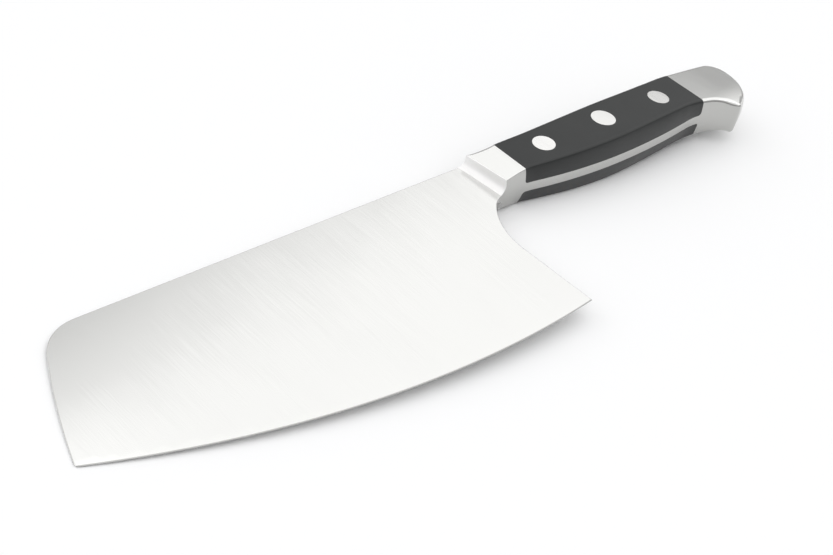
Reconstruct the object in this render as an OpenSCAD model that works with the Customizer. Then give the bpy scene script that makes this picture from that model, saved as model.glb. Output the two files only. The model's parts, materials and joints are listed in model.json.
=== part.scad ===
// Forged cleaver with a full tang, a bolster, a steel pommel and a riveted grip.
// Millimetres. The knife is drawn flat, its blade's mid-plane at z = 0, its rivets on y = 0 and the
// front of its bolster at x = 0, with the tip towards -X, the pommel towards +X and the spine towards +Y.
// at_rest() then lays it down on its tip and on the swell of its grip, as it lies on a table.

/* [Blade] */
// Length of the blade, from the heel corner to the tip corner
blade_len = 160.1; // [120:0.1:200]
// Depth of the blade at its heel, from the spine to the heel corner
heel_depth = 66.1; // [50:0.1:80]
// Depth of the blade at its tip corner
tip_depth = 43.6; // [34:0.1:49]
// Radius of the curved cutting edge
edge_r = 336; // [250:1:600]
// Radius of the bowed end of the blade
tip_r = 240; // [140:1:500]
// Distance that the blade's end leans back between the tip corner and the spine
tip_rake = 20.3; // [5:0.1:30]
// Radius of the corner between the spine and the blade's end
tip_corner_r = 15.5; // [5:0.1:22]
// Radius of the corner between the blade's end and the edge
tip_point_r = 1.2; // [0.8:0.1:4]
// Lean of the heel from the square, in degrees
heel_lean = 3; // [0:0.1:8]
// Radius of the hollow between the heel and the bolster
heel_hollow_r = 25.3; // [18:0.1:32]
// Step from the bolster's back down to the blade's spine
spine_step = 0.4; // [0.2:0.1:1]
// Height of the spine at the blade's end above the bolster's back
spine_rise = 0.3; // [0:0.1:1]

/* [Blade section] */
// Thickness of the spine at the bolster
spine_t = 3.4; // [2.4:0.1:4.5]
// Thickness of the spine at the blade's end
tip_t = 1.1; // [0.8:0.1:1.5]
// Thickness of the blade behind the edge's bevel
edge_t = 0.4; // [0.3:0.05:0.6]
// Width of the edge's bevel
edge_bevel = 0.3; // [0.3:0.1:2]
// Thickness left at the cutting edge itself
edge_land = 0.1; // [0.05:0.01:0.2]

/* [Bolster] */
// Length of the bolster, from its fillet to the scales
bolster_len = 12.5; // [9:0.1:16]
// Thickness of the bolster at its front, where its faces would meet x = 0
bolster_t = 10.3; // [8:0.1:12]
// Length of the bolster's rear end whose faces already follow the crown
bolster_crown = 1.5; // [0.5:0.1:3]
// Radius of the fillet between the blade and the bolster's face
fillet_r = 2.8; // [2:0.1:3.2]
// Turn of the fillet in plan, its spine end towards the tip, in degrees
fillet_turn = 6.7; // [0:0.1:10]
// Depth by which the fillet's lowest line runs below the blade's face
fillet_sink = 0.05; // [0.03:0.01:0.1]
// Radius of the throat that turns the heel's hollow into the bolster's belly
neck_r = 10.9; // [8:0.1:13]
// Distance of the throat's end behind the fillet
neck_x = 4.5; // [3:0.1:6]

/* [Grip] */
// Length of the scales
scale_len = 85.7; // [70:0.1:110]
// Thickness of the grip at its swell
grip_t = 16.54; // [14:0.01:20]
// Radius of the faces' crown along the grip
crown_r = 680; // [500:1:1500]
// Distance of the crown's top behind the front of the scales
crown_x = 47.5; // [35:0.1:60]
// Thickness of the tang between the scales
tang_t = 3.3; // [2:0.1:4.2]
// Radius of the tang's root, where it leaves the bolster and the pommel
root_r = 1.2; // [0.5:0.1:2]
// Gap between a scale and the steel around it
scale_fit = 0.02; // [0.01:0.01:0.1]

/* [Grip outline] */
// Height of the blade's spine above the line of rivets
spine_y = 9.4; // [8.8:0.1:11]
// Height of the grip's back at its dip
dip_y = 8.6; // [7.5:0.1:8.6]
// Distance of that dip behind the front of the scales
dip_x = 22.5; // [18:0.1:28]
// Radius of the dip
dip_r = 620; // [400:1:700]
// Radius that leads from the straight spine into the dip
dip_blend_r = 60; // [30:1:90]
// Height of the grip's back at its rear crest
crest_y = 9.7; // [9.2:0.1:11]
// Distance of the crest ahead of the pommel's end
crest_back = 32.1; // [28:0.1:36]
// Depth of the bolster's belly below the line of rivets
neck_y = 7.7; // [6:0.1:8]
// Depth of the grip's belly at its lowest
belly_y = 11.6; // [10:0.1:12]
// Distance of that lowest place behind the front of the scales
belly_x = 42.6; // [37:0.1:50]
// Radius of the belly ahead of its lowest place
belly_r = 217; // [160:1:250]
// Radius that leads from the bolster's straight belly into the grip's
belly_blend_r = 30; // [15:1:40]
// Depth of the belly at the throat ahead of the pommel's beak
throat_y = 9.1; // [8:0.1:9.4]

/* [Pommel] */
// Length of the pommel behind the scales
pommel_len = 26.9; // [22:0.1:32]
// Distance of the throat ahead of the pommel's end
throat_back = 30.1; // [29:0.1:31]
// Radius of the throat
throat_r = 30; // [24:1:45]
// Angle through which the throat turns down before it tightens, in degrees
throat_turn = 13.6; // [10:0.1:16]
// Radius of the hook in front of the beak
hook_r = 13.9; // [11:0.1:17]
// Way from the hook's centre to the beak's, in degrees from the X axis
beak_turn = 37; // [32:1:45]
// Radius of the beak's tip
beak_r = 1.5; // [1:0.1:2]
// Height of the pommel's rearmost point above the line of rivets
pommel_y = 2; // [1:0.1:3]
// Radius of the pommel above its rearmost point
pommel_top_r = 7.2; // [5:0.1:8.7]
// Radius of the pommel below its rearmost point
pommel_heel_r = 18; // [14:0.1:18.1]

/* [Rivets] */
// Distance of the outer rivets from the ends of the scales
rivet_end = 14.6; // [9:0.1:20]
// Diameter of the front and rear rivets' heads
rivet_head_d = 7.5; // [6:0.1:9.5]
// Diameter of the middle rivet's heads
middle_head_d = 8.3; // [6:0.1:10]
// Thickness of a head at its centre
rivet_head_t = 2.2; // [1.5:0.1:2.8]
// Outer diameter of the tube half
rivet_tube_d = 5; // [4:0.1:5.6]
// Diameter of the pin half
rivet_pin_d = 3; // [2:0.1:3.4]
// Gap around a head in its scale
head_fit = 0.03; // [0.01:0.01:0.1]
// Gap around a tube in the scales and the tang
tube_fit = 0.08; // [0.03:0.01:0.2]
// Gap around a pin in its tube
pin_fit = 0.02; // [0.01:0.01:0.05]
// Room that a tube or a pin keeps from the head it points at
rivet_end_room = 0.3; // [0.1:0.1:0.6]

/* [Hidden] */
$fn = 96;
// Sides of the large circle that forms the edge
large_fn = 240;
// Straight steps in an arc of the outline
arc_steps = 10;
// Straight steps in the crown of a face, along the whole grip
crown_steps = 28;
// Height of cuts and prisms that pass right through the knife
through = 60;
// Margin by which a cutting shape passes what it cuts
past = 2;

steel_color = [0.87, 0.87, 0.85];
scale_color = [0.13, 0.14, 0.14];
rivet_color = [0.78, 0.78, 0.77];

// Plane geometry

function toward(angle) = [cos(angle), sin(angle)];
function angle_of(v) = (atan2(v.y, v.x) + 360) % 360;

// Points along an arc, from one angle to the other
function arc_points(centre, r, from, to, steps = arc_steps) =
    [for (i = [0:steps]) centre + r * toward(from + (to - from) * i / steps)];

// Centre of the circle of radius r through a and b, to the left of the way from a to b
function centre_through(a, b, r) =
    let (chord = b - a, half = norm(chord) / 2, left = [-chord.y, chord.x] / norm(chord))
    (a + b) / 2 + left * sqrt(r * r - half * half);

// Place where two circles cross, to the left of the way from c1 to c2
function crossing(c1, r1, c2, r2) =
    let (d = norm(c2 - c1), ahead = (c2 - c1) / d, left = [-ahead.y, ahead.x],
         along = (d * d + r1 * r1 - r2 * r2) / (2 * d))
    c1 + ahead * along + left * sqrt(r1 * r1 - along * along);

// Distance, along the knife, between the centres of two arcs of opposite bend that touch each other
function arc_reach(rise, r_sum) = sqrt(rise * (2 * r_sum - rise));

// Sum of the radii of two arcs of opposite bend that join places so far apart along and across
function arc_sum(reach, rise) = (reach * reach + rise * rise) / (2 * rise);

// Places along the knife

scale_front = bolster_len;
scale_rear = bolster_len + scale_len;
pommel_end = scale_rear + pommel_len;
front_rivet_x = scale_front + rivet_end;
middle_rivet_x = scale_front + scale_len / 2;
rear_rivet_x = scale_rear - rivet_end;

// Blade outline

neck_turn = 45;
neck_centre = [neck_x, -neck_y - neck_r];
hollow_centre = neck_centre - (heel_hollow_r - neck_r) * toward(180 - neck_turn);
hollow_end = hollow_centre + heel_hollow_r * toward(180 + heel_lean);
heel_y = spine_y - heel_depth;
heel = [hollow_end.x + (hollow_end.y - heel_y) * tan(heel_lean), heel_y];
tip = [heel.x - blade_len, spine_y - tip_depth];
tip_top = [tip.x + tip_rake, spine_y + spine_rise];
edge_centre = centre_through(tip, heel, edge_r);
tip_centre = centre_through(tip_top, tip, tip_r);

corner_y = tip_top.y - tip_corner_r;
corner_back = sqrt(pow(tip_r - tip_corner_r, 2) - pow(corner_y - tip_centre.y, 2));
corner_centre = [tip_centre.x - corner_back, corner_y];
corner_angle = angle_of(corner_centre - tip_centre);

// The round tip corner stands this far past the edge, so that it crosses it at a clear angle
point_proud = 0.1;
point_centre = crossing(tip_centre, tip_r - tip_point_r, edge_centre, edge_r + point_proud - tip_point_r);
point_angle = angle_of(point_centre - tip_centre);
edge_start = angle_of(point_centre - edge_centre);
edge_end = angle_of(heel - edge_centre);
below_edge = edge_centre.y - edge_r - past;
outer_point = edge_centre + (edge_r + past) * toward(edge_start);

blade_end_points = concat(
    arc_points(corner_centre, tip_corner_r, 90, corner_angle),
    arc_points(tip_centre, tip_r, corner_angle, point_angle),
    arc_points(point_centre, tip_point_r, point_angle, edge_start)
);
// The grind's round rim makes the edge, so the outline passes below it
below_edge_points = [
    outer_point,
    [outer_point.x, below_edge],
    [heel.x + (heel.y - below_edge) * tan(heel_lean), below_edge]
];
heel_points = concat(
    arc_points(hollow_centre, heel_hollow_r, 180 + heel_lean, 180 - neck_turn),
    arc_points(neck_centre, neck_r, 180 - neck_turn, 90)
);

// Belly of the grip

belly_low = [scale_front + belly_x, -belly_y];
belly_reach = arc_reach(belly_y - neck_y, belly_r + belly_blend_r);
belly_angle = asin(belly_reach / (belly_r + belly_blend_r));
throat = [pommel_end - throat_back, -throat_y];
rear_belly_sum = arc_sum(throat.x - belly_low.x, belly_y - throat_y);
rear_belly_r = rear_belly_sum - throat_r;
rear_belly_angle = asin((throat.x - belly_low.x) / rear_belly_sum);
throat_centre = throat - [0, throat_r];
hook_centre = throat_centre + (throat_r - hook_r) * toward(90 - throat_turn);
beak_centre = hook_centre + (hook_r + beak_r) * toward(beak_turn);

belly_points = concat(
    arc_points([belly_low.x - belly_reach, -neck_y - belly_blend_r], belly_blend_r, 90, 90 - belly_angle),
    arc_points(belly_low + [0, belly_r], belly_r, 270 - belly_angle, 270),
    arc_points(belly_low + [0, rear_belly_r], rear_belly_r, 270, 270 + rear_belly_angle),
    arc_points(throat_centre, throat_r, 90 + rear_belly_angle, 90 - throat_turn),
    arc_points(hook_centre, hook_r, 90 - throat_turn, beak_turn)
);

// Pommel and back of the grip

pommel_top_centre = [pommel_end - pommel_top_r, pommel_y];
pommel_heel_centre = [pommel_end - pommel_heel_r, pommel_y];
beak_to_heel = pommel_heel_centre - beak_centre;
beak_line_angle = angle_of(beak_to_heel) - acos((beak_r - pommel_heel_r) / norm(beak_to_heel)) + 360;
crest = [pommel_end - crest_back, crest_y];
crest_to_top = pommel_top_centre - crest;
crest_line_angle = angle_of(crest_to_top) + acos(-pommel_top_r / norm(crest_to_top)) - 360;
dip = [scale_front + dip_x, dip_y];
crest_sum = arc_sum(crest.x - dip.x, crest_y - dip_y);
crest_r = crest_sum - dip_r;
crest_angle = asin((crest.x - dip.x) / crest_sum);
dip_reach = arc_reach(spine_y - dip_y, dip_r + dip_blend_r);
dip_angle = asin(dip_reach / (dip_r + dip_blend_r));
// The step lies behind the fillet's rise, ahead of the dip
step_x = min(fillet_r - spine_y * tan(fillet_turn), dip.x - dip_reach - spine_step);

pommel_points = concat(
    arc_points(beak_centre, beak_r, beak_turn + 180, beak_line_angle),
    arc_points(pommel_heel_centre, pommel_heel_r, beak_line_angle, 360),
    arc_points(pommel_top_centre, pommel_top_r, 0, crest_line_angle)
);
back_points = concat(
    arc_points(crest - [0, crest_r], crest_r, 90, 90 + crest_angle),
    arc_points(dip + [0, dip_r], dip_r, 270 + crest_angle, 270 - dip_angle),
    arc_points([dip.x - dip_reach, spine_y - dip_blend_r], dip_blend_r, 90 - dip_angle, 90),
    [[step_x + spine_step, spine_y], [step_x, spine_y - spine_step]]
);

knife_outline = concat(
    blade_end_points, below_edge_points, heel_points, belly_points, pommel_points, back_points
);

// Thickness of the blade and the grip

grind_slope = (spine_t - edge_t) / 2 / (heel_depth - edge_bevel);
grind_w = heel_depth * 1.5;
taper_slope = (spine_t - tip_t) / 2 / -tip_top.x;
// The blade's root reaches this far into the bolster
root_x = bolster_len / 2;

function grind_half(depth) = edge_t / 2 + grind_slope * (depth - edge_bevel);
function taper_half(x) = spine_t / 2 + taper_slope * x;
function edge_distance(p) = edge_r - norm(p - edge_centre);
function blade_half(p) = min(taper_half(p.x), grind_half(max(edge_distance(p), edge_bevel)));
crown_centre = [scale_front + crown_x, grip_t / 2 - crown_r];
lower_crown_centre = [crown_centre.x, -crown_centre.y];
function crown_angle(x) = acos((x - crown_centre.x) / crown_r);
function crown_half(x) = crown_centre.y + crown_r * sin(crown_angle(x));

// Draws a side view, its Y as height, and sweeps it across the knife
module across() {
    rotate([90, 0, 0])
        linear_extrude(4 * through, center = true)
            children();
}

module both_sides() {
    children();
    mirror([0, 0, 1])
        children();
}

// The ground faces meet in a round rim about the centre of the edge's curve
module grind() {
    inner = edge_r - grind_w;
    inner_half = grind_half(grind_w);
    translate(edge_centre)
        rotate_extrude($fn = large_fn)
            polygon([
                [inner, -inner_half],
                [edge_r - edge_bevel, -edge_t / 2],
                [edge_r, -edge_land / 2],
                [edge_r, edge_land / 2],
                [edge_r - edge_bevel, edge_t / 2],
                [inner, inner_half]
            ]);
}

module distal_taper() {
    front = tip.x - past;
    across()
        polygon([
            [front, -taper_half(front)],
            [root_x, -taper_half(root_x)],
            [root_x, taper_half(root_x)],
            [front, taper_half(front)]
        ]);
}

module crown() {
    front = crown_angle(-past);
    rear = crown_angle(pommel_end + past);
    across()
        polygon(concat(
            arc_points(crown_centre, crown_r, rear, front, crown_steps),
            arc_points(lower_crown_centre, crown_r, -front, -rear, crown_steps)
        ));
}

// The bolster's faces rise in a straight line until they run into the crown
module bolster_faces() {
    meeting_x = scale_front - bolster_crown;
    slope = (crown_half(meeting_x) - bolster_t / 2) / meeting_x;
    front_half = bolster_t / 2 - slope * past;
    rear = pommel_end + past;
    rear_half = bolster_t / 2 + slope * rear;
    across()
        polygon([[-past, -front_half], [rear, -rear_half], [rear, rear_half], [-past, front_half]]);
}

// What the fillet takes away above one face of the blade
module fillet_cut() {
    low = grind_half(edge_distance([0, 0])) - fillet_sink;
    lean = atan(grind_slope);
    translate([0, 0, low])
        rotate([lean, 0, fillet_turn])
            across() {
                translate([0, fillet_r])
                    circle(fillet_r);
                translate([-past, fillet_r])
                    square([fillet_r + past, through]);
            }
}

// What lies ahead of the fillet's lowest line
module fillet_front() {
    rotate([0, 0, fillet_turn])
        translate([-2 * through, -2 * through, -through])
            cube([2 * through, 4 * through, 2 * through]);
}

module knife_blank() {
    intersection() {
        translate([0, 0, -through / 2])
            linear_extrude(through)
                polygon(knife_outline);
        union() {
            intersection() {
                grind();
                distal_taper();
            }
            difference() {
                intersection() {
                    crown();
                    bolster_faces();
                }
                both_sides()
                    fillet_cut();
                fillet_front();
            }
        }
    }
}

// The room for one scale, with a gap kept to the steel around it
module scale_room(gap) {
    front = scale_front + gap;
    length = scale_len - 2 * gap;
    floor_z = tang_t / 2 + gap;
    across() {
        translate([front, floor_z + root_r])
            square([length, through]);
        translate([front + root_r, floor_z])
            square([length - 2 * root_r, through]);
        for (x = [front + root_r, front + length - root_r])
            translate([x, floor_z + root_r])
                circle(root_r);
    }
}

// Height of the seat under a rivet's head
function rivet_seat(x) = crown_half(x) - rivet_head_t;

module rivet_hole(x, head_d) {
    translate([x, 0, 0]) {
        cylinder(d = rivet_tube_d + 2 * tube_fit, h = through, center = true);
        both_sides()
            translate([0, 0, rivet_seat(x)])
                cylinder(d = head_d + 2 * head_fit, h = through);
    }
}

module rivet_holes() {
    rivet_hole(front_rivet_x, rivet_head_d);
    rivet_hole(middle_rivet_x, middle_head_d);
    rivet_hole(rear_rivet_x, rivet_head_d);
}

// A head is trimmed flush with the crown
module rivet_head(x, head_d) {
    intersection() {
        translate([x, 0, rivet_seat(x)])
            cylinder(d = head_d, h = through);
        crown();
    }
}

module rivet_tube(x, head_d) {
    seat = rivet_seat(x);
    length = 2 * seat - rivet_end_room;
    color(rivet_color)
        difference() {
            union() {
                rivet_head(x, head_d);
                translate([x, 0, seat - length])
                    cylinder(d = rivet_tube_d, h = length + rivet_head_t / 2);
            }
            translate([x, 0, -through])
                cylinder(d = rivet_pin_d + 2 * pin_fit, h = through + seat);
        }
}

module rivet_pin(x, head_d) {
    seat = rivet_seat(x);
    color(rivet_color) {
        mirror([0, 0, 1])
            rivet_head(x, head_d);
        translate([x, 0, -seat - rivet_head_t / 2])
            cylinder(d = rivet_pin_d, h = 2 * seat + rivet_head_t / 2 - rivet_end_room);
    }
}

module scale() {
    color(scale_color)
        difference() {
            intersection() {
                knife_blank();
                scale_room(scale_fit);
            }
            rivet_holes();
        }
}

// Lying on a table

// Slope of the table under the knife, were it to touch the grip and this place of the blade's end
function table_slope(p) =
    let (foot = [p.x, -blade_half(p)], span = lower_crown_centre - foot)
    atan2(span.y, span.x) - asin(crown_r / norm(span));

rest_pitch = -max([for (p = blade_end_points) table_slope(p)]);
rest_low = min([for (p = blade_end_points) p.x * sin(rest_pitch) - blade_half(p) * cos(rest_pitch)]);
rest_left = min([for (p = blade_end_points) p.x * cos(rest_pitch)]);
rest_right = pommel_end * cos(rest_pitch) + crown_half(pommel_end) * sin(rest_pitch);
rest_front = min([for (p = arc_points(edge_centre, edge_r, edge_start, edge_end)) p.y]);
rest_back = max(tip_top.y, crest_y, pommel_y + pommel_top_r);

module at_rest() {
    translate([-(rest_left + rest_right) / 2, -(rest_front + rest_back) / 2, -rest_low])
        rotate([0, -rest_pitch, 0])
            children();
}

// Pieces

module forging() {
    color(steel_color)
        at_rest()
            difference() {
                knife_blank();
                both_sides()
                    scale_room(0);
                rivet_holes();
            }
}

module upper_scale() {
    at_rest()
        scale();
}

module lower_scale() {
    at_rest()
        mirror([0, 0, 1])
            scale();
}

module front_rivet_tube() {
    at_rest()
        rivet_tube(front_rivet_x, rivet_head_d);
}

module front_rivet_pin() {
    at_rest()
        rivet_pin(front_rivet_x, rivet_head_d);
}

module middle_rivet_tube() {
    at_rest()
        rivet_tube(middle_rivet_x, middle_head_d);
}

module middle_rivet_pin() {
    at_rest()
        rivet_pin(middle_rivet_x, middle_head_d);
}

module rear_rivet_tube() {
    at_rest()
        rivet_tube(rear_rivet_x, rivet_head_d);
}

module rear_rivet_pin() {
    at_rest()
        rivet_pin(rear_rivet_x, rivet_head_d);
}

forging();
upper_scale();
lower_scale();
front_rivet_tube();
front_rivet_pin();
middle_rivet_tube();
middle_rivet_pin();
rear_rivet_tube();
rear_rivet_pin();
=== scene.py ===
import json
import math

import bmesh
import bpy
import numpy as np
from mathutils import Matrix, Vector
from mathutils.geometry import delaunay_2d_cdt


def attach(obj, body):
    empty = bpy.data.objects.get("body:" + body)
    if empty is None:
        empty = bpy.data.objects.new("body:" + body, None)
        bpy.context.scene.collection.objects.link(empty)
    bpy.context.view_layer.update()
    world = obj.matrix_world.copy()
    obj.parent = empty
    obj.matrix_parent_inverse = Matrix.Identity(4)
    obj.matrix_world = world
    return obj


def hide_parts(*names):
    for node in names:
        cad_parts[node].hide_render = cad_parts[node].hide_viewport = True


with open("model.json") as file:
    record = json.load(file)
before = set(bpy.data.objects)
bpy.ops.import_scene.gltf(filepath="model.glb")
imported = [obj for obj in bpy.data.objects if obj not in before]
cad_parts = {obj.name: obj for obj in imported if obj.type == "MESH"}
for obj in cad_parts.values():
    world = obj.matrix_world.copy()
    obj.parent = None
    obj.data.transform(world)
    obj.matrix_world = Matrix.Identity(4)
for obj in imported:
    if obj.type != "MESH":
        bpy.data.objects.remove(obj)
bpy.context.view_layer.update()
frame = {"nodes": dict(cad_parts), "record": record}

# Forged cleaver with a full tang, a bolster, a steel pommel and a riveted grip.
# Its pieces are drawn in millimetres, flat: the blade's mid-plane at z = 0, the rivets on y = 0 and
# the front of the bolster at x = 0, the tip towards -X and the spine towards +Y. REST then lays them
# down where the frame lies, in metres.

MM = 0.001

# Blade
BLADE_LEN = 160.1
HEEL_DEPTH = 66.1
TIP_DEPTH = 43.6
EDGE_R = 336
TIP_R = 240
TIP_RAKE = 20.3
TIP_CORNER_R = 15.5
TIP_POINT_R = 1.2
HEEL_LEAN = 3
HEEL_HOLLOW_R = 25.3
SPINE_STEP = 0.4
SPINE_RISE = 0.3
SPINE_T = 3.4
TIP_T = 1.1
EDGE_T = 0.4
EDGE_BEVEL = 0.3
EDGE_LAND = 0.1
SPINE_ROUND = 0.22

# Bolster
BOLSTER_LEN = 12.5
BOLSTER_T = 10.3
BOLSTER_CROWN = 1.5
FILLET_R = 2.8
FILLET_TURN = 6.7
FILLET_SINK = 0.05
FILLET_RIDGE_R = 0.25
NECK_R = 10.9
NECK_X = 4.5
NECK_TURN = 45

# Grip
SCALE_LEN = 85.7
GRIP_T = 16.54
CROWN_R = 680
CROWN_X = 47.5
TANG_T = 3.3
ROOT_R = 1.2
SCALE_FIT = 0.02

# Grip outline
SPINE_Y = 9.4
DIP_Y = 8.6
DIP_X = 22.5
DIP_R = 620
DIP_BLEND_R = 60
CREST_Y = 9.7
CREST_BACK = 32.1
NECK_Y = 7.7
BELLY_Y = 11.6
BELLY_X = 42.6
BELLY_R = 217
BELLY_BLEND_R = 30
THROAT_Y = 9.1

# Pommel
POMMEL_LEN = 26.9
THROAT_BACK = 30.1
THROAT_R = 30
THROAT_TURN = 13.6
HOOK_R = 13.9
BEAK_TURN = 37
BEAK_R = 1.5
POMMEL_Y = 2
POMMEL_TOP_R = 7.2
POMMEL_HEEL_R = 18

# Rivets
RIVET_END = 14.6
RIVET_HEAD_D = 7.5
MIDDLE_HEAD_D = 8.3
RIVET_HEAD_T = 2.2
RIVET_TUBE_D = 5
HEAD_FIT = 0.03
TUBE_FIT = 0.08

# Faces
# Thickness over which the grind and the taper run into each other
GRIND_BLEND = 0.25
# Thickness over which the bolster's faces run into the crown
CROWN_BLEND = 0.03
# The faces roll off behind a line from the scales' rear belly corner, turned so far from +X
BEAK_ROLL_TURN = 13
BEAK_ROLL = 0.008

# Sides of the grip: their outward bulge at the mid-plane, below and above, and what a swell adds
BELLY_BULGE = 1.2
BACK_BULGE = 0.7
POMMEL_BULGE = 0.4
SWELL_BULGE = 0.5
SWELL_X = 74
SWELL_LEN = 16
# Where the bulge begins, and the stretch about the scales' rear end that leads to the pommel's
BULGE_START = -6
POMMEL_BULGE_TURN = (-12, 2)

# Radii of the long ridges between the faces and the sides
RIDGE_R = 1.2
FRONT_RIDGE_R = 0.7
POMMEL_RIDGE_R = 1.4
BEAK_RIDGE_R = 2.2
BOLSTER_BACK_R = 1.2
BOLSTER_BELLY_R = 0.3
# Stretches over which one radius leads to the next: two about the scales' front end, one about
# their rear end and one below the throat
SCALE_RIDGE_TURN = (0, 15)
FRONT_RIDGE_TURN = (-3, 2)
REAR_RIDGE_TURN = (-6, 4)
BEAK_RIDGE_TURN = (2, 5)
# Share of the room inside a tight bend that its ridge may take
ROOM_SHARE = 0.8

# Rings of the blade's rim: each one's share of the inset and of the drop, for a round and for a
# flat bevel
RIM_RINGS = (
    (0, 1, 0, 1),
    (0.15, 0.47, 0.25, 0.75),
    (0.5, 0.13, 0.5, 0.5),
    (1, 0, 0.96, 0.04),
    (1.3, 0, 1.04, 0),
)
# The blade's outline is left this far behind the fillet's line and closes so far back and in,
# hidden in the bolster
BLADE_FLUSH = 0.2
BLADE_RUN_ON = 5
BLADE_RUN_IN = 2.5

# Fineness of the meshes: lengths, turns in degrees, and counts
ARC_STEP = 0.8
ARC_TURN = 6
STRAIGHT_STEP = ARC_STEP * 1.5
BLADE_GRID = 2.0
GRIP_GRID = 1.5
SIDE_LEVELS = 6
RIDGE_LEVELS = 6
FILLET_SECTIONS = 33
FILLET_STEP = 6
FILLET_RIDGE_STEPS = 6
ROOT_STEP = 10
RIVET_SIDES = 72
# A grid's points keep this share of its step from the border
GRID_CLEAR = 0.55
# Passes that even out the room for the ridges, and that settle their lean
EVEN_PASSES = 3
SMOOTH_PASSES = 12
LEAN_PASSES = 3

# Cutters
# Height of cuts that pass right through the knife
THROUGH = 30
# The fillet's cutter reaches this far ahead of its lowest line, to both sides, and past its ridge
FILLET_AHEAD = 8
FILLET_REACH = 16
FILLET_PAST = 1.0

# Distances below which two places count as one, in the outline, in a filled face and in a mesh
OUTLINE_FIT = 1e-6
FACE_FIT = 1e-7
MESH_FIT = 1e-5
# A place this near to a curve, or to a formula's surface, lies on it
CURVE_FIT = 0.01
SURFACE_FIT = 0.002
# A face this nearly parallel to a formula's surface lies on it
FACE_COS = 0.995
# The slope of a surface is measured over this distance to both sides
SLOPE_STEP = 0.05
# The blade's own faces end this far behind the fillet's line
BLADE_REACH = 0.6
# The fillet's faces: how far they lean forward, and how far past the ridge and below they reach
FILLET_LEAN = 0.02
FILLET_MARGIN = 0.1
FILLET_DEPTH = 0.01
# Degrees between two faces above which their edge stays sharp
SHARP_ANGLE = 32
# Place on the blade's mid-plane between the record's two mounts
MOUNT_PLACE = (-100, -2, 0)

# Finishes, and the painted shade on the steel's sides
# Depth in metres of the steel's scratches and of the plastic's texture
GRAIN_DEPTH = 0.000004
TEXTURE_DEPTH = 0.00002
# How much the roughness of steel varies with its scratches and with its uneven sheen
GRAIN_SHEEN = 0.03
CLOUD_SHEEN = 0.02
CLOUD_SCALE = 40
# Steepness at which steel counts as a side and takes the painted shade, as the upward part of its
# normal
SIDE_FULL = 0.35
SIDE_GONE = 0.8
# Darker base colour of the steel's sideways faces: painted shade
SIDE_SHADE_COLOR = (0.50, 0.50, 0.487)
PLASTIC_DARK = (0.008, 0.0095, 0.0095)
PLASTIC_PALE = (0.012, 0.0135, 0.0135)
PLASTIC_ROUGH = (0.35, 0.42)
TABLE_COLOR = (0.965, 0.967, 0.972)
# Numbers of the sockets that Blender names alike for every type of data
MIX_FACTOR, MIX_FIRST, MIX_SECOND, MIX_RESULT = 0, 6, 7, 2
RANGE_LOW, RANGE_HIGH = 9, 10

# Table: half its width, in metres
TABLE_HALF = 6.0

# Soft round lights in a dimmer room: compass angle from +X, height, the angles from the centre at
# which the brightness begins to fall and has fallen off, and its strength above the room's
SOFT_LIGHTS = (
    (-2.4, 57.9, 34.7, 40.8, 0.79),
    (112, 50, 28, 40, 0.40),
    (168, 36, 18, 44, 0.54),
    (-110, 62, 20, 44, 0.58),
)
ROOM_LIGHT = 0.435

# Camera: its place in the flat knife's own axes, its turn in degrees, its lens and sensor, and how
# near it sees, in metres
CAMERA_PLACE = (-342.34, -260.18, 290.89)
CAMERA_TURN = (53.118, -12.216, -43.124)
LENS = 73.13
SENSOR = 36
CLIP_START = 0.01

SCALE_FRONT = BOLSTER_LEN
SCALE_REAR = BOLSTER_LEN + SCALE_LEN
POMMEL_END = SCALE_REAR + POMMEL_LEN


# Plane geometry

def toward(angle):
    return np.array([math.cos(math.radians(angle)), math.sin(math.radians(angle))])


def angle_of(v):
    return math.degrees(math.atan2(v[1], v[0])) % 360


def point(x, y):
    return np.array([x, y], float)


def arc(centre, r, start, end):
    """Points along an arc, from one angle to the other."""
    turn = abs(end - start)
    steps = math.ceil(max(turn / ARC_TURN, math.radians(turn) * r / ARC_STEP))
    return [centre + r * toward(start + (end - start) * i / steps) for i in range(steps + 1)]


def centre_through(a, b, r):
    """Centre of the circle of radius r through a and b, to the left of the way from a to b."""
    chord = b - a
    length = np.linalg.norm(chord)
    left = point(-chord[1], chord[0]) / length
    return (a + b) / 2 + left * math.sqrt(r * r - length * length / 4)


def crossing(c1, r1, c2, r2):
    """Place where two circles cross, to the left of the way from c1 to c2."""
    d = np.linalg.norm(c2 - c1)
    ahead = (c2 - c1) / d
    along = (d * d + r1 * r1 - r2 * r2) / (2 * d)
    return c1 + ahead * along + point(-ahead[1], ahead[0]) * math.sqrt(r1 * r1 - along * along)


def arc_reach(rise, r_sum):
    """Distance, along the knife, between the centres of two arcs of opposite bend that touch."""
    return math.sqrt(rise * (2 * r_sum - rise))


def arc_sum(reach, rise):
    """Sum of the radii of two arcs of opposite bend that join places so far apart."""
    return (reach * reach + rise * rise) / (2 * rise)


def smooth_step(value, low, high):
    t = np.clip((value - low) / (high - low), 0, 1)
    return t * t * (3 - 2 * t)


def led_over(value, place, span):
    """How far a value has come through a span about a place, from 0 to 1."""
    return smooth_step(value, place + span[0], place + span[1])


def smooth_min(a, b, width):
    h = np.clip(0.5 + 0.5 * (b - a) / width, 0, 1)
    return b + (a - b) * h - width * h * (1 - h)


# Blade outline

neck_centre = point(NECK_X, -NECK_Y - NECK_R)
hollow_centre = neck_centre - (HEEL_HOLLOW_R - NECK_R) * toward(180 - NECK_TURN)
hollow_end = hollow_centre + HEEL_HOLLOW_R * toward(180 + HEEL_LEAN)
heel_y = SPINE_Y - HEEL_DEPTH
heel = point(hollow_end[0] + (hollow_end[1] - heel_y) * math.tan(math.radians(HEEL_LEAN)), heel_y)
tip = point(heel[0] - BLADE_LEN, SPINE_Y - TIP_DEPTH)
tip_top = point(tip[0] + TIP_RAKE, SPINE_Y + SPINE_RISE)
edge_centre = centre_through(tip, heel, EDGE_R)
tip_centre = centre_through(tip_top, tip, TIP_R)

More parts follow.
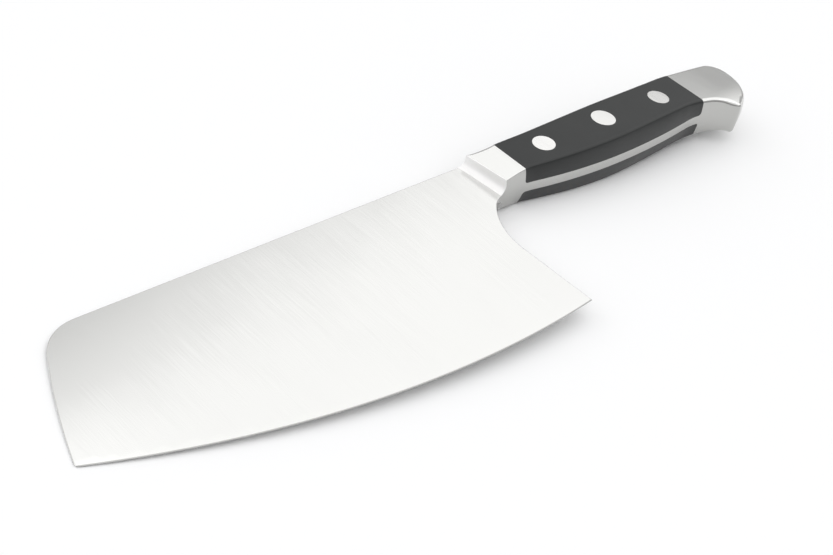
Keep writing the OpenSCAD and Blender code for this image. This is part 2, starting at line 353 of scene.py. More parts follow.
corner_y = tip_top[1] - TIP_CORNER_R
corner_back = math.sqrt((TIP_R - TIP_CORNER_R) ** 2 - (corner_y - tip_centre[1]) ** 2)
corner_centre = point(tip_centre[0] - corner_back, corner_y)
corner_angle = angle_of(corner_centre - tip_centre)
point_centre = crossing(tip_centre, TIP_R - TIP_POINT_R, edge_centre, EDGE_R - TIP_POINT_R)
point_angle = angle_of(point_centre - tip_centre)
edge_start = angle_of(point_centre - edge_centre)
edge_end = angle_of(heel - edge_centre)


def blade_points():
    return (
        arc(corner_centre, TIP_CORNER_R, 90, corner_angle)
        + arc(tip_centre, TIP_R, corner_angle, point_angle)
        + arc(point_centre, TIP_POINT_R, point_angle, edge_start)
        + arc(edge_centre, EDGE_R, edge_start, edge_end)
        + arc(hollow_centre, HEEL_HOLLOW_R, 180 + HEEL_LEAN, 180 - NECK_TURN)
        + arc(neck_centre, NECK_R, 180 - NECK_TURN, 90)
    )


def belly_points():
    low = point(SCALE_FRONT + BELLY_X, -BELLY_Y)
    reach = arc_reach(BELLY_Y - NECK_Y, BELLY_R + BELLY_BLEND_R)
    turn = math.degrees(math.asin(reach / (BELLY_R + BELLY_BLEND_R)))
    throat = point(POMMEL_END - THROAT_BACK, -THROAT_Y)
    rear_sum = arc_sum(throat[0] - low[0], BELLY_Y - THROAT_Y)
    rear_r = rear_sum - THROAT_R
    rear_turn = math.degrees(math.asin((throat[0] - low[0]) / rear_sum))
    blend_centre = point(low[0] - reach, -NECK_Y - BELLY_BLEND_R)
    return (
        arc(blend_centre, BELLY_BLEND_R, 90, 90 - turn)
        + arc(low + point(0, BELLY_R), BELLY_R, 270 - turn, 270)
        + arc(low + point(0, rear_r), rear_r, 270, 270 + rear_turn)
        + arc(throat_centre, THROAT_R, 90 + rear_turn, 90 - THROAT_TURN)
        + arc(hook_centre, HOOK_R, 90 - THROAT_TURN, BEAK_TURN)
    )


throat_centre = point(POMMEL_END - THROAT_BACK, -THROAT_Y - THROAT_R)
hook_centre = throat_centre + (THROAT_R - HOOK_R) * toward(90 - THROAT_TURN)
beak_centre = hook_centre + (HOOK_R + BEAK_R) * toward(BEAK_TURN)
pommel_top_centre = point(POMMEL_END - POMMEL_TOP_R, POMMEL_Y)
pommel_heel_centre = point(POMMEL_END - POMMEL_HEEL_R, POMMEL_Y)
crest = point(POMMEL_END - CREST_BACK, CREST_Y)


def pommel_points():
    to_heel = pommel_heel_centre - beak_centre
    lean = math.degrees(math.acos((BEAK_R - POMMEL_HEEL_R) / np.linalg.norm(to_heel)))
    beak_line = angle_of(to_heel) - lean + 360
    to_top = pommel_top_centre - crest
    rise = math.degrees(math.acos(-POMMEL_TOP_R / np.linalg.norm(to_top)))
    crest_line = angle_of(to_top) + rise - 360
    return (
        arc(beak_centre, BEAK_R, BEAK_TURN + 180, beak_line)
        + arc(pommel_heel_centre, POMMEL_HEEL_R, beak_line, 360)
        + arc(pommel_top_centre, POMMEL_TOP_R, 0, crest_line)
    )


def back_points():
    dip = point(SCALE_FRONT + DIP_X, DIP_Y)
    both = arc_sum(crest[0] - dip[0], CREST_Y - DIP_Y)
    crest_r = both - DIP_R
    crest_turn = math.degrees(math.asin((crest[0] - dip[0]) / both))
    reach = arc_reach(SPINE_Y - DIP_Y, DIP_R + DIP_BLEND_R)
    turn = math.degrees(math.asin(reach / (DIP_R + DIP_BLEND_R)))
    blend_centre = point(dip[0] - reach, SPINE_Y - DIP_BLEND_R)
    # The step lies behind the fillet's rise, ahead of the dip
    fillet_x = FILLET_R - SPINE_Y * math.tan(math.radians(FILLET_TURN))
    step_x = min(fillet_x, dip[0] - reach - SPINE_STEP)
    return (
        arc(crest - point(0, crest_r), crest_r, 90, 90 + crest_turn)
        + arc(dip + point(0, DIP_R), DIP_R, 270 + crest_turn, 270 - turn)
        + arc(blend_centre, DIP_BLEND_R, 90 - turn, 90)
        + [point(step_x + SPINE_STEP, SPINE_Y), point(step_x, SPINE_Y - SPINE_STEP)]
    )


def filled(points, step):
    """The closed outline without its doubled points, its long straight stretches divided."""
    out = []
    for i, here in enumerate(points):
        after = points[(i + 1) % len(points)]
        length = np.linalg.norm(after - here)
        if length < OUTLINE_FIT:
            continue
        parts = math.ceil(length / step)
        out += [here + (after - here) * k / parts for k in range(parts)]
    return out


outline = filled(blade_points() + belly_points() + pommel_points() + back_points(), STRAIGHT_STEP)


def behind_fillet(p):
    """Distance of a place behind the lowest line of the fillet."""
    return float(np.dot(p, toward(FILLET_TURN)))


def stretch(points, limit, keep_front):
    """The open run of a closed outline on one side of the fillet's lowest line."""
    side = [(behind_fillet(p) < limit) == keep_front for p in points]
    count = len(points)
    first = next(i for i in range(count) if side[i] and not side[i - 1])
    run = []
    i = first
    while side[i % count]:
        run.append(points[i % count])
        i += 1

    def cut(inner, outer):
        a, b = behind_fillet(inner), behind_fillet(outer)
        return inner + (outer - inner) * (limit - a) / (b - a)

    return [cut(run[0], points[first - 1])] + run + [cut(run[-1], points[i % count])]


# Thickness

grind_slope = (SPINE_T - EDGE_T) / 2 / (HEEL_DEPTH - EDGE_BEVEL)
taper_slope = (SPINE_T - TIP_T) / 2 / -tip_top[0]
crown_centre = point(SCALE_FRONT + CROWN_X, GRIP_T / 2 - CROWN_R)


def edge_distance(x, y):
    return EDGE_R - np.hypot(x - edge_centre[0], y - edge_centre[1])


def ground_half(x, y):
    """Half the thickness of the blade where only the grind shapes it."""
    return EDGE_T / 2 + grind_slope * (edge_distance(x, y) - EDGE_BEVEL)


def blade_half(x, y):
    depth = edge_distance(x, y)
    bevel = EDGE_LAND / 2 + (EDGE_T - EDGE_LAND) / 2 * np.maximum(depth, 0) / EDGE_BEVEL
    taper = SPINE_T / 2 + taper_slope * x
    return np.minimum(smooth_min(ground_half(x, y), taper, GRIND_BLEND), bevel)


def crown_half(x):
    return crown_centre[1] + np.sqrt(CROWN_R ** 2 - (x - crown_centre[0]) ** 2)


meeting_x = SCALE_FRONT - BOLSTER_CROWN
bolster_slope = (crown_half(meeting_x) - BOLSTER_T / 2) / meeting_x


def bolster_half(x):
    return BOLSTER_T / 2 + bolster_slope * x


def beak_roll(x, y):
    """How far the faces have rolled off beside a place on the way to the beak."""
    along = toward(BEAK_ROLL_TURN)
    away = along[1] * (x - SCALE_REAR) - along[0] * (y + THROAT_Y)
    return BEAK_ROLL * np.maximum(away, 0) ** 2


def grip_half(x, y):
    return smooth_min(bolster_half(x), crown_half(x), CROWN_BLEND) - beak_roll(x, y)


# Meshes

def mesh_object(name, vertices, faces):
    mesh = bpy.data.meshes.new(name)
    mesh.from_pydata([tuple(v) for v in vertices], [], faces)
    mesh.validate()
    mesh.update()
    obj = bpy.data.objects.new(name, mesh)
    bpy.context.scene.collection.objects.link(obj)
    return obj


def inward(points):
    """Unit normals that point into an outline, for an open run of it that goes anticlockwise."""
    p = np.array(points)
    after = np.roll(p, -1, axis=0) - p
    before = p - np.roll(p, 1, axis=0)
    after[-1] = before[-1]
    before[0] = after[0]
    after /= np.linalg.norm(after, axis=1)[:, None]
    before /= np.linalg.norm(before, axis=1)[:, None]
    mean = after + before
    mean /= np.linalg.norm(mean, axis=1)[:, None]
    return np.column_stack([-mean[:, 1], mean[:, 0]])


def inside(places, polygon):
    """Which places lie in a polygon."""
    x, y = places[:, 0][:, None], places[:, 1][:, None]
    x1, y1 = polygon[:, 0][None], polygon[:, 1][None]
    x2, y2 = np.roll(polygon[:, 0], -1)[None], np.roll(polygon[:, 1], -1)[None]
    spans = (y1 > y) != (y2 > y)
    rise = np.where(spans, y2 - y1, 1)
    return (np.sum(spans & (x < (x2 - x1) * (y - y1) / rise + x1), axis=1) % 2) == 1


def room_along(points, normals):
    """Radius of the largest circle inside the outline that touches it at each point."""
    p = np.array(points)
    gap = p[None] - p[:, None]
    along = np.einsum("ijk,ik->ij", gap, normals)
    square = np.sum(gap ** 2, axis=2)
    least = 1e-9
    r = np.where(along > least, square / np.maximum(2 * along, least), np.inf)
    return np.min(r, axis=1)


def band(a, b, count):
    """Faces between two closed rings whose points begin at a and at b."""
    return [(a + i, a + (i + 1) % count, b + (i + 1) % count, b + i) for i in range(count)]


def body(name, rings, height, grid):
    """A closed body, alike above and below its mid-plane. Its rings run up from the mid-plane's
    outline, and the last one is filled with a face of the given height."""
    rings = [np.array(r, float) for r in rings]
    count = len(rings[0])
    border = rings[-1][:, :2]
    low, high = border.min(axis=0), border.max(axis=0)
    xs = np.arange(low[0] + grid / 2, high[0], grid)
    ys = np.arange(low[1] + grid / 2, high[1], grid)
    lattice = np.array([(x, y) for x in xs for y in ys])
    lattice = lattice[inside(lattice, border)]
    clear = np.min(np.linalg.norm(lattice[:, None] - border[None], axis=2), axis=1)
    lattice = lattice[clear > grid * GRID_CLEAR]
    flat = [Vector(p) for p in border] + [Vector(p) for p in lattice]
    keep_inside = 1
    found = delaunay_2d_cdt(flat, [], [list(range(count))], keep_inside, FACE_FIT)
    places, triangles, sources = found[0], found[2], found[3]

    vertices = [tuple(v) for ring in rings for v in ring]
    top = {}
    for k, (place, source) in enumerate(zip(places, sources)):
        known = [s for s in source if s < count]
        if known:
            top[k] = count * (len(rings) - 1) + known[0]
        else:
            top[k] = len(vertices)
            vertices.append((place.x, place.y, float(height(place.x, place.y))))
    faces = []
    for level in range(len(rings) - 1):
        faces += band(level * count, (level + 1) * count, count)
    faces += [tuple(top[k] for k in t) for t in triangles]

    # The lower half mirrors the upper, and both share the first ring where it lies on the mid-plane
    shared = np.allclose(rings[0][:, 2], 0)
    total = len(vertices)
    below = [i if shared and i < count else i + total for i in range(total)]
    vertices += [(x, y, -z) for x, y, z in vertices]
    faces += [tuple(below[k] for k in reversed(f)) for f in faces]
    if not shared:
        faces += [(below[i], below[(i + 1) % count], (i + 1) % count, i) for i in range(count)]
    obj = mesh_object(name, vertices, faces)
    weld(obj)
    return obj


def weld(obj):
    """Joins doubled points, drops those without a face and turns every face outward."""
    bm = bmesh.new()
    bm.from_mesh(obj.data)
    bmesh.ops.remove_doubles(bm, verts=bm.verts, dist=MESH_FIT)
    bmesh.ops.delete(bm, geom=[v for v in bm.verts if not v.link_faces], context="VERTS")
    bmesh.ops.recalc_face_normals(bm, faces=bm.faces)
    bm.to_mesh(obj.data)
    bm.free()


def loft(name, sections):
    """A closed body through sections with equally many points."""
    count = len(sections[0])
    vertices = [tuple(v) for s in sections for v in s]
    faces = []
    for level in range(len(sections) - 1):
        faces += band(level * count, (level + 1) * count, count)
    last = (len(sections) - 1) * count
    faces.append(tuple(reversed(range(count))))
    faces.append(tuple(last + i for i in range(count)))
    obj = mesh_object(name, vertices, faces)
    weld(obj)
    return obj


def combined(obj, others, operation):
    """The body with others cut away from it, joined to it or kept of it."""
    for other in others:
        change = obj.modifiers.new("change", "BOOLEAN")
        change.operation = operation
        change.solver = "MANIFOLD"
        change.object = other
    graph = bpy.context.evaluated_depsgraph_get()
    mesh = bpy.data.meshes.new_from_object(obj.evaluated_get(graph))
    obj.modifiers.clear()
    obj.data = mesh
    return obj


def copy_of(obj, name, mirrored=False):
    mesh = obj.data.copy()
    if mirrored:
        mesh.transform(Matrix.Diagonal((1, 1, -1, 1)))
        mesh.flip_normals()
    twin = bpy.data.objects.new(name, mesh)
    bpy.context.scene.collection.objects.link(twin)
    return twin


def drop(*objects):
    for obj in objects:
        bpy.data.objects.remove(obj)


# Bodies

def edge_share(points, corner):
    """How much of the cutting edge's bevel each point of the blade's run has, from 0 to 1."""
    edge_away = np.abs(edge_distance(points[:, 0], points[:, 1]))
    on_edge = ((edge_away < CURVE_FIT) & (np.arange(len(points)) <= corner)).astype(float)
    # Along the round tip the bevel narrows into the end's rounding
    near_point = np.linalg.norm(points - point_centre, axis=1) < TIP_POINT_R + CURVE_FIT
    turned = np.array([angle_of(p - point_centre) for p in points])
    ramp = smooth_step(turned, point_angle, edge_start)
    return np.where(near_point, np.maximum(ramp, on_edge * ramp), on_edge)


def rim_ring(points, moves, drop, on_edge, shares):
    """One ring of the blade's rim, moved in from the outline and down from the face."""
    round_in, round_drop, flat_in, flat_drop = shares
    share = round_in + (flat_in - round_in) * on_edge
    fall = (round_drop + (flat_drop - round_drop) * on_edge) * drop
    place = points + moves * share[:, None]
    z = blade_half_at(points + moves * np.maximum(share, 1)[:, None]) - fall
    if flat_drop == 1:
        z = np.maximum(z, EDGE_LAND / 2)
    return np.column_stack([place, z])


def blade_body():
    """The blade, its spine and end slightly rounded, its edge bevelled. It runs on into the bolster."""
    run = stretch(outline, BLADE_FLUSH, True)
    belly_end, spine_end = run[-1], run[0]
    points = np.array(run)
    corner = int(np.argmin(np.linalg.norm(points - heel, axis=1)))
    on_edge = edge_share(points, corner)
    inset = SPINE_ROUND + (EDGE_BEVEL - SPINE_ROUND) * on_edge
    half_edge = (EDGE_T - EDGE_LAND) / 2
    drop = SPINE_ROUND + (half_edge - SPINE_ROUND) * on_edge
    moves = inward(run) * inset[:, None]
    # The heel's corner moves in square to both the edge and the heel
    up = (edge_centre - heel) / np.linalg.norm(edge_centre - heel)
    moves[corner] = up * EDGE_BEVEL - toward(HEEL_LEAN) * SPINE_ROUND

    closing = np.array([
        belly_end + point(BLADE_RUN_ON, BLADE_RUN_IN),
        spine_end + point(BLADE_RUN_ON, -BLADE_RUN_IN),
    ])
    hidden = np.column_stack([closing, blade_half_at(closing)])
    rings = [rim_ring(points, moves, drop, on_edge, shares) for shares in RIM_RINGS]
    return body("blade", [np.vstack([ring, hidden]) for ring in rings], blade_half, BLADE_GRID)


def blade_half_at(places):
    return blade_half(places[:, 0], places[:, 1])


def side_bulge(x, y):
    """Outward bulge of the sides at the mid-plane beside a place on the outline."""
    swell = SWELL_BULGE * np.exp(-(((x - SWELL_X) / SWELL_LEN) ** 2))
    side = np.where(y > 0, BACK_BULGE, BELLY_BULGE) + swell
    rear = side + (POMMEL_BULGE - side) * led_over(x, SCALE_REAR, POMMEL_BULGE_TURN)
    return rear * smooth_step(x, BULGE_START, SCALE_FRONT)


def ridge_radius(x, y):
    """Radius of the ridge beside a place on the outline."""
    scale_r = FRONT_RIDGE_R + (RIDGE_R - FRONT_RIDGE_R) * led_over(x, SCALE_FRONT, SCALE_RIDGE_TURN)
    bolster_r = np.where(y > 0, BOLSTER_BACK_R, BOLSTER_BELLY_R)
    front = bolster_r + (scale_r - bolster_r) * led_over(x, SCALE_FRONT, FRONT_RIDGE_TURN)
    beak = led_over(-y, THROAT_Y, BEAK_RIDGE_TURN)
    rear_r = POMMEL_RIDGE_R + (BEAK_RIDGE_R - POMMEL_RIDGE_R) * beak
    return front + (rear_r - front) * led_over(x, SCALE_REAR, REAR_RIDGE_TURN)


def smoothed(values, passes):
    for _ in range(passes):
        padded = np.concatenate([values[:1], values, values[-1:]])
        values = (padded[:-2] + 2 * values + padded[2:]) / 4
    return values


def grip_sides(points, normals):
    """The bulge of the sides and the ridge's radius beside each point. A tight bend leaves less room
    for both."""
    x, y = points[:, 0], points[:, 1]
    bulge = side_bulge(x, y)
    r = ridge_radius(x, y)
    room = room_along(points, normals) * ROOM_SHARE
    scale = np.minimum(1, room / (bulge + r))
    for _ in range(EVEN_PASSES):
        padded = np.concatenate([scale[:1], scale, scale[-1:]])
        scale = np.minimum(scale, (padded[:-2] + padded[2:]) / 2)
    scale = np.minimum(scale, smoothed(scale, SMOOTH_PASSES))
    return bulge * scale, r * scale


def grip_body():
    """The bolster, grip and pommel in one, before the fillet is cut and the pieces are parted."""
    points = np.array(stretch(outline, 0, False))
    normals = inward(points)
    bulge, r = grip_sides(points, normals)
    half = grip_half(points[:, 0], points[:, 1])
    tangent_z = half - r
    for _ in range(LEAN_PASSES):
        lean = np.arctan2(2 * bulge, tangent_z)
        tangent_z = half - r + r * np.sin(lean)
    rings = []
    for k in range(SIDE_LEVELS + 1):
        t = k / SIDE_LEVELS
        place = points + normals * (bulge * t * t)[:, None]
        rings.append(np.column_stack([place, tangent_z * t]))
    for k in range(1, RIDGE_LEVELS + 1):
        angle = lean + (math.pi / 2 - lean) * k / RIDGE_LEVELS
        move = bulge + r * (np.cos(lean) - np.cos(angle))
        place = points + normals * move[:, None]
        z = grip_half(place[:, 0], place[:, 1]) - r + r * np.sin(angle)
        rings.append(np.column_stack([place, z]))
    return body("grip", rings, grip_half, GRIP_GRID)


def fillet_profile(face):
    """Side view of what the fillet takes away where the bolster's face stands at a given height."""
    slope = bolster_slope * math.cos(math.radians(FILLET_TURN))
    profile = [(-FILLET_AHEAD, 0), (0, 0)]
    for a in range(FILLET_STEP, 91, FILLET_STEP):
        turn = math.radians(a)
        profile.append((FILLET_R * math.sin(turn), FILLET_R * (1 - math.cos(turn))))
    # The ridge above the wall is slightly rounded
    for k in range(FILLET_RIDGE_STEPS + 1):
        a = math.radians(90 * k / FILLET_RIDGE_STEPS)
        across = FILLET_R + FILLET_RIDGE_R * (1 - math.cos(a))
        up = face - FILLET_RIDGE_R + FILLET_RIDGE_R * math.sin(a)
        profile.append((across, up + slope * (across - FILLET_R)))
    profile.append((FILLET_R + FILLET_PAST, face + FILLET_PAST))
    profile.append((FILLET_R + FILLET_PAST, THROUGH))
    profile.append((-FILLET_AHEAD, THROUGH))
    return profile


def fillet_cutter():
    """What the fillet takes away ahead of and above one face of the bolster."""
    low = ground_half(0, 0) - FILLET_SINK
    lean = math.atan(grind_slope)
    turn = math.radians(FILLET_TURN)
    turned = Matrix.Rotation(turn, 4, "Z") @ Matrix.Rotation(lean, 4, "X")
    place = Matrix.Translation((0, 0, low)) @ turned
    sections = []
    for v in np.linspace(-FILLET_REACH, FILLET_REACH, FILLET_SECTIONS):
        wall_x = FILLET_R * math.cos(turn) - v * math.sin(turn)
        face = (bolster_half(wall_x) - low - v * math.sin(lean)) / math.cos(lean)
        sections.append([place @ Vector((px, v, pz)) for px, pz in fillet_profile(face)])
    return loft("fillet", sections)


def room_cutter(gap):
    """The room for one scale, with a gap kept to the steel around it."""
    front, rear = SCALE_FRONT + gap, SCALE_REAR - gap
    floor = TANG_T / 2 + gap
    profile = [(front, THROUGH)]
    for a in range(180, 271, ROOT_STEP):
        corner = point(front + ROOT_R, floor + ROOT_R) + ROOT_R * toward(a)
        profile.append(tuple(corner))
    for a in range(270, 361, ROOT_STEP):
        corner = point(rear - ROOT_R, floor + ROOT_R) + ROOT_R * toward(a)
        profile.append(tuple(corner))
    profile.append((rear, THROUGH))
    return loft("room", [[(px, v, pz) for px, pz in profile] for v in (-THROUGH, THROUGH)])


def rivet_places():
    """Where each rivet stands along the grip, and the diameter of its heads."""
    return [
        (SCALE_FRONT + RIVET_END, RIVET_HEAD_D),
        ((SCALE_FRONT + SCALE_REAR) / 2, MIDDLE_HEAD_D),
        (SCALE_REAR - RIVET_END, RIVET_HEAD_D),
    ]


def rivet_cutter(x, head_d):
    """The hole for one rivet through the tang and both scales, with its heads' recesses."""
    seat = float(crown_half(x)) - RIVET_HEAD_T
    tube_r = RIVET_TUBE_D / 2 + TUBE_FIT
    head_r = head_d / 2 + HEAD_FIT
    circle = [toward(360 * k / RIVET_SIDES) for k in range(RIVET_SIDES)]
    rings = (
        (-THROUGH, head_r),
        (-seat, head_r),
        (-seat, tube_r),
        (seat, tube_r),
        (seat, head_r),
        (THROUGH, head_r),
    )
    return loft("hole", [[(x + r * c[0], r * c[1], z) for c in circle] for z, r in rings])


def lower_twin(obj):
    return copy_of(obj, obj.name + "_lower", mirrored=True)


def true_normals(mesh):
    """Normals of the ground and crowned faces from their own formulas, for every corner of a face
    that lies on one of them; zero, which leaves it as it is, for the others."""
    count = len(mesh.vertices)
    places = np.empty(count * 3)
    mesh.vertices.foreach_get("co", places)
    places = places.reshape(-1, 3)
    x, y, z = places.T
    step = SLOPE_STEP
    found = np.zeros((count, 3))
    for half, within in ((blade_half, x < BLADE_REACH), (grip_half, x > 0)):
        on_face = within & (np.abs(np.abs(z) - half(x, y)) < SURFACE_FIT)
        slope_x = (half(x + step, y) - half(x - step, y)) / (2 * step)
        slope_y = (half(x, y + step) - half(x, y - step)) / (2 * step)
        normal = np.column_stack([-slope_x, -slope_y, np.ones(count)])
        normal /= np.linalg.norm(normal, axis=1)[:, None]
        normal[:, 2] *= np.sign(z)
        found[on_face] = normal[on_face]
    corners = np.zeros((len(mesh.loops), 3))
    for polygon in mesh.polygons:
        for k in polygon.loop_indices:
            normal = found[mesh.loops[k].vertex_index]
            if np.dot(normal, polygon.normal) > FACE_COS:
                corners[k] = normal
    return corners


def mark_finishes_and_painted_light(obj):
    """Gives the edge's bevel the piece's second material, a rougher steel whose darker colour is
    painted shade, and the fillet its third, a rougher steel whose paler, partly diffuse colour is
    painted light.
    """
    fillet_end = FILLET_R + FILLET_RIDGE_R + FILLET_MARGIN
    for polygon in obj.data.polygons:
        x, y, z = polygon.center
        if x < 0 and edge_distance(x, y) < EDGE_BEVEL and abs(z) < EDGE_T / 2:
            polygon.material_index = 1
        elif 0 < behind_fillet((x, y)) < fillet_end and polygon.normal.x < -FILLET_LEAN:
            if abs(z) > ground_half(x, y) - FILLET_SINK - FILLET_DEPTH:
                polygon.material_index = 2


def finish_mesh(obj):
    """Lays a piece down on the table, in metres, and shades it smooth between its real edges."""
    mesh = obj.data
    corners = true_normals(mesh)
    mesh.set_sharp_from_angle(angle=math.radians(SHARP_ANGLE))
    mesh.polygons.foreach_set("use_smooth", [True] * len(mesh.polygons))
    mesh.normals_split_custom_set([tuple(c) for c in corners])
    mesh.transform(REST)
    mesh.update()


def rest_matrix():
    """From the flat knife in millimetres to the frame. The record's two mounts lie above and below
    one place on the blade's mid-plane, alike on both of its faces."""
    mounts = {m["name"]: m for m in frame["record"]["mounts"]}
    up, down = mounts["blade_flat_up"], mounts["blade_flat_down"]
    normal = (Vector(up["axis"]) - Vector(down["axis"])).normalized()
    along = Vector((normal.z, 0, -normal.x))
    turn = Matrix((along, (0, 1, 0), normal)).transposed().to_4x4()
    middle = (Vector(up["pos_m"]) + Vector(down["pos_m"])) / 2
    to_place = Matrix.Translation(-Vector(MOUNT_PLACE))
    return Matrix.Translation(middle) @ turn @ Matrix.Scale(MM, 4) @ to_place


REST = rest_matrix()


# Materials

def new_material(name):
    material = bpy.data.materials.new(name)
    material.use_nodes = True
    nodes = material.node_tree.nodes
    return material, nodes, material.node_tree.links, nodes["Principled BSDF"]


def mapped(nodes, links, scale):
    """The piece's own coordinates, in metres, times a scale for each axis."""
    place = nodes.new("ShaderNodeTexCoord")
    mapping = nodes.new("ShaderNodeMapping")
    mapping.inputs["Scale"].default_value = scale
    links.new(place.outputs["Object"], mapping.inputs["Vector"])
    return mapping.outputs["Vector"]


def noise(nodes, links, vector, scale, detail):
    texture = nodes.new("ShaderNodeTexNoise")
    texture.inputs["Scale"].default_value = scale
    texture.inputs["Detail"].default_value = detail
    texture.inputs["Roughness"].default_value = 0.55
    links.new(vector, texture.inputs["Vector"])
    return texture.outputs["Fac"]


def ranged(nodes, links, value, low, high, from_low=0.3, from_high=0.7):
    """A value led from one range into another; noise mostly lies between 0.3 and 0.7."""
    span = nodes.new("ShaderNodeMapRange")
    span.inputs["From Min"].default_value = from_low
    span.inputs["From Max"].default_value = from_high
    span.inputs["To Min"].default_value = low
    span.inputs["To Max"].default_value = high
    links.new(value, span.inputs["Value"])
    return span.outputs["Result"]


def bumped(nodes, links, height, distance):
    bump = nodes.new("ShaderNodeBump")
    bump.inputs["Strength"].default_value = 1
    bump.inputs["Distance"].default_value = distance
    links.new(height, bump.inputs["Height"])
    return bump.outputs["Normal"]


def steel(name, color, rough, grain_scale, metallic=1):
    """Ground steel with fine parallel scratches and a faintly uneven sheen."""
    material, nodes, links, shader = new_material(name)
    shader.inputs["Metallic"].default_value = metallic
    shader.inputs["Base Color"].default_value = (*color, 1)
    grain = noise(nodes, links, mapped(nodes, links, grain_scale), 1, detail=3)
    cloud = noise(nodes, links, mapped(nodes, links, [CLOUD_SCALE] * 3), 1, detail=3)
    both = nodes.new("ShaderNodeMath")
    both.operation = "ADD"
    scratched = ranged(nodes, links, grain, -GRAIN_SHEEN, GRAIN_SHEEN)
    clouded = ranged(nodes, links, cloud, rough - CLOUD_SHEEN, rough + CLOUD_SHEEN)
    links.new(scratched, both.inputs[0])
    links.new(clouded, both.inputs[1])
    links.new(both.outputs[0], shader.inputs["Roughness"])
    links.new(bumped(nodes, links, grain, GRAIN_DEPTH), shader.inputs["Normal"])
    return material


def shade_steel_sides(material, from_x):
    """Paints shade on the steel where it faces sideways behind a place along the knife: the narrow
    sides of the bolster, the tang and the pommel get a darker base colour that stands in for the dimmer
    light they reflect."""
    nodes, links = material.node_tree.nodes, material.node_tree.links
    shader = nodes["Principled BSDF"]
    place = nodes.new("ShaderNodeTexCoord")
    facing = nodes.new("ShaderNodeSeparateXYZ")
    links.new(place.outputs["Normal"], facing.inputs[0])
    upward = nodes.new("ShaderNodeMath")
    upward.operation = "ABSOLUTE"
    links.new(facing.outputs["Z"], upward.inputs[0])
    along = nodes.new("ShaderNodeSeparateXYZ")
    links.new(place.outputs["Object"], along.inputs[0])
    side = ranged(nodes, links, upward.outputs[0], 1, 0, SIDE_FULL, SIDE_GONE)
    behind = ranged(nodes, links, along.outputs["X"], 0, 1, from_x, from_x + MM)
    both = nodes.new("ShaderNodeMath")
    both.operation = "MULTIPLY"
    links.new(side, both.inputs[0])
    links.new(behind, both.inputs[1])
    mix = nodes.new("ShaderNodeMix")
    mix.data_type = "RGBA"
    mix.inputs[MIX_FIRST].default_value = shader.inputs["Base Color"].default_value
    mix.inputs[MIX_SECOND].default_value = (*SIDE_SHADE_COLOR, 1)
    links.new(both.outputs[0], mix.inputs[MIX_FACTOR])
    links.new(mix.outputs[MIX_RESULT], shader.inputs["Base Color"])


def black_plastic(name):
    """Dense moulded plastic, satin, with a very fine even texture."""
    material, nodes, links, shader = new_material(name)
    vector = mapped(nodes, links, (1, 1, 1))
    fine = noise(nodes, links, vector, 2600, detail=2)
    cloud = noise(nodes, links, vector, 90, detail=4)
    tone = nodes.new("ShaderNodeMapRange")
    tone.data_type = "FLOAT_VECTOR"
    tone.inputs[RANGE_LOW].default_value = PLASTIC_DARK
    tone.inputs[RANGE_HIGH].default_value = PLASTIC_PALE
    links.new(cloud, tone.inputs["Vector"])
    links.new(tone.outputs["Vector"], shader.inputs["Base Color"])
    links.new(ranged(nodes, links, cloud, *PLASTIC_ROUGH), shader.inputs["Roughness"])
    links.new(bumped(nodes, links, fine, TEXTURE_DEPTH), shader.inputs["Normal"])
    shader.inputs["IOR"].default_value = 1.5
    return material


def table_material():
    material, _, _, shader = new_material("table")
    shader.inputs["Base Color"].default_value = (*TABLE_COLOR, 1)
    shader.inputs["Roughness"].default_value = 0.8
    shader.inputs["Specular IOR Level"].default_value = 0.2
    return material


def dress(obj, *materials):
    obj.data.materials.clear()
    for material in materials:
        obj.data.materials.append(material)


# Pieces

def build():
    """The forging and the two scales, cut from two bodies and parted."""
    grip = grip_body()
    fillet = fillet_cutter()
    fillet_below = lower_twin(fillet)
    steel_grip = combined(copy_of(grip, "steel_grip"), [fillet, fillet_below], "DIFFERENCE")
    forging = combined(blade_body(), [steel_grip], "UNION")
    forging.name = "forging_steel"
    rooms = [room_cutter(0)]
    rooms.append(lower_twin(rooms[0]))
    holes = [rivet_cutter(x, head_d) for x, head_d in rivet_places()]
    combined(forging, rooms + holes, "DIFFERENCE")
    upper_room = room_cutter(SCALE_FIT)
    upper = combined(copy_of(grip, "upper_scale_moulded"), [upper_room], "INTERSECT")
    combined(upper, holes, "DIFFERENCE")
    lower = copy_of(upper, "lower_scale_moulded", mirrored=True)
    drop(grip, fillet, fillet_below, steel_grip, upper_room, *rooms, *holes)
    return forging, upper, lower


forging, upper_scale, lower_scale = build()
blade_steel = steel("blade_steel", (0.78, 0.78, 0.765), rough=0.18, grain_scale=(2500, 60, 60))
# Painted shade: a darker base colour on the steel's sideways faces behind the bolster's front
shade_steel_sides(blade_steel, from_x=(REST @ Vector((0, 0, 0))).x)
# The edge's bevel: rougher steel, with a darker base colour that is painted shade for the dark line
# along the edge
shaded_edge_steel = steel("shaded_edge_steel", (0.42, 0.42, 0.41), rough=0.42, grain_scale=(2500, 60, 60))
# The fillet: rougher steel, with a paler, partly diffuse colour that is painted light
lit_fillet_steel = steel(
    "lit_fillet_steel", (0.93, 0.925, 0.92), rough=0.45, grain_scale=(60, 2500, 60), metallic=0.7
)
rivet_steel = steel("rivet_steel", (0.82, 0.815, 0.80), rough=0.20, grain_scale=(1500, 80, 80))
plastic = black_plastic("black_scale")

for piece, node, slot, materials in (
    (forging, "forging", "satin_steel", [blade_steel, shaded_edge_steel, lit_fillet_steel]),
    (upper_scale, "upper_scale", "black_scale", [plastic]),
    (lower_scale, "lower_scale", "black_scale", [plastic]),
):
    dress(piece, *materials)
    mark_finishes_and_painted_light(piece)
    finish_mesh(piece)
    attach(piece, "root")
    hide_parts(node)

for where in ("front", "middle", "rear"):
    for half in ("tube", "pin"):
        dress(frame["nodes"][f"{where}_rivet_{half}"], rivet_steel)


# Table, light and camera

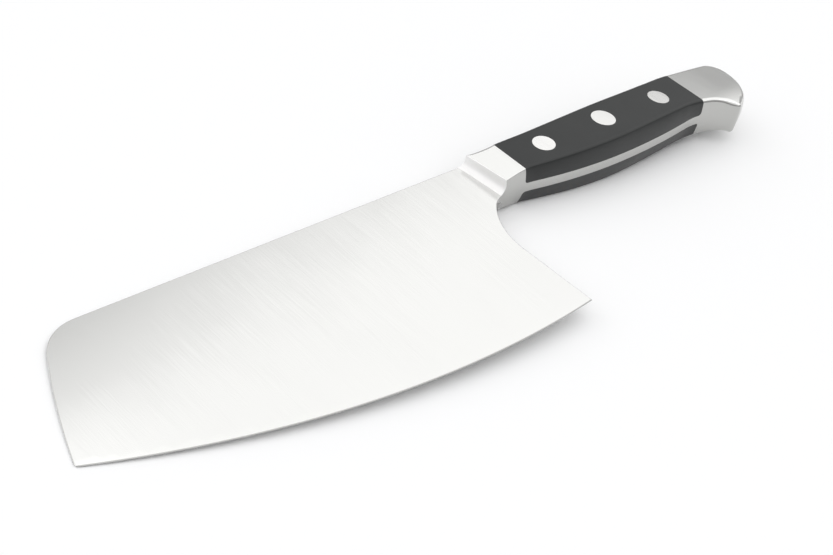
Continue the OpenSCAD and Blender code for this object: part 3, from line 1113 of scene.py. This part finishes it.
def table():
    far = TABLE_HALF
    corners = [(-far, -far, 0), (far, -far, 0), (far, far, 0), (-far, far, 0)]
    obj = mesh_object("table", corners, [(0, 1, 2, 3)])
    obj.data.materials.append(table_material())


def soft_span(nodes, links, direction, axis, gone, full):
    """Strength of a light by how far a direction leans towards an axis."""
    aim = nodes.new("ShaderNodeVectorMath")
    aim.operation = "DOT_PRODUCT"
    aim.inputs[1].default_value = axis
    links.new(direction, aim.inputs[0])
    span = nodes.new("ShaderNodeMapRange")
    span.interpolation_type = "SMOOTHSTEP"
    span.inputs["From Min"].default_value = gone
    span.inputs["From Max"].default_value = full
    links.new(aim.outputs["Value"], span.inputs["Value"])
    return span


def studio_light():
    """Large soft lights overhead, painted on the world by their direction."""
    world = bpy.data.worlds.new("studio")
    bpy.context.scene.world = world
    world.use_nodes = True
    nodes, links = world.node_tree.nodes, world.node_tree.links
    direction = nodes.new("ShaderNodeTexCoord").outputs["Generated"]
    total = None
    for compass, height, full, gone, strength in SOFT_LIGHTS:
        flat = toward(compass) * math.cos(math.radians(height))
        axis = (flat[0], flat[1], math.sin(math.radians(height)))
        reach = [math.cos(math.radians(a)) for a in (gone, full)]
        span = soft_span(nodes, links, direction, axis, *reach)
        span.inputs["To Max"].default_value = strength
        sum_up = nodes.new("ShaderNodeMath")
        links.new(span.outputs["Result"], sum_up.inputs[0])
        if total is None:
            sum_up.inputs[1].default_value = ROOM_LIGHT
        else:
            links.new(total, sum_up.inputs[1])
        total = sum_up.outputs[0]
    links.new(total, nodes["Background"].inputs["Strength"])
    nodes["Background"].inputs["Color"].default_value = (1, 1, 1, 1)


def camera():
    data = bpy.data.cameras.new("camera")
    data.sensor_width = SENSOR
    data.lens = LENS
    obj = bpy.data.objects.new("camera", data)
    obj.location = REST @ Vector(CAMERA_PLACE)
    obj.rotation_euler = [math.radians(a) for a in CAMERA_TURN]
    data.clip_start = CLIP_START
    bpy.context.scene.collection.objects.link(obj)
    bpy.context.scene.camera = obj


table()
studio_light()
camera()
bpy.context.scene.view_settings.view_transform = "Standard"
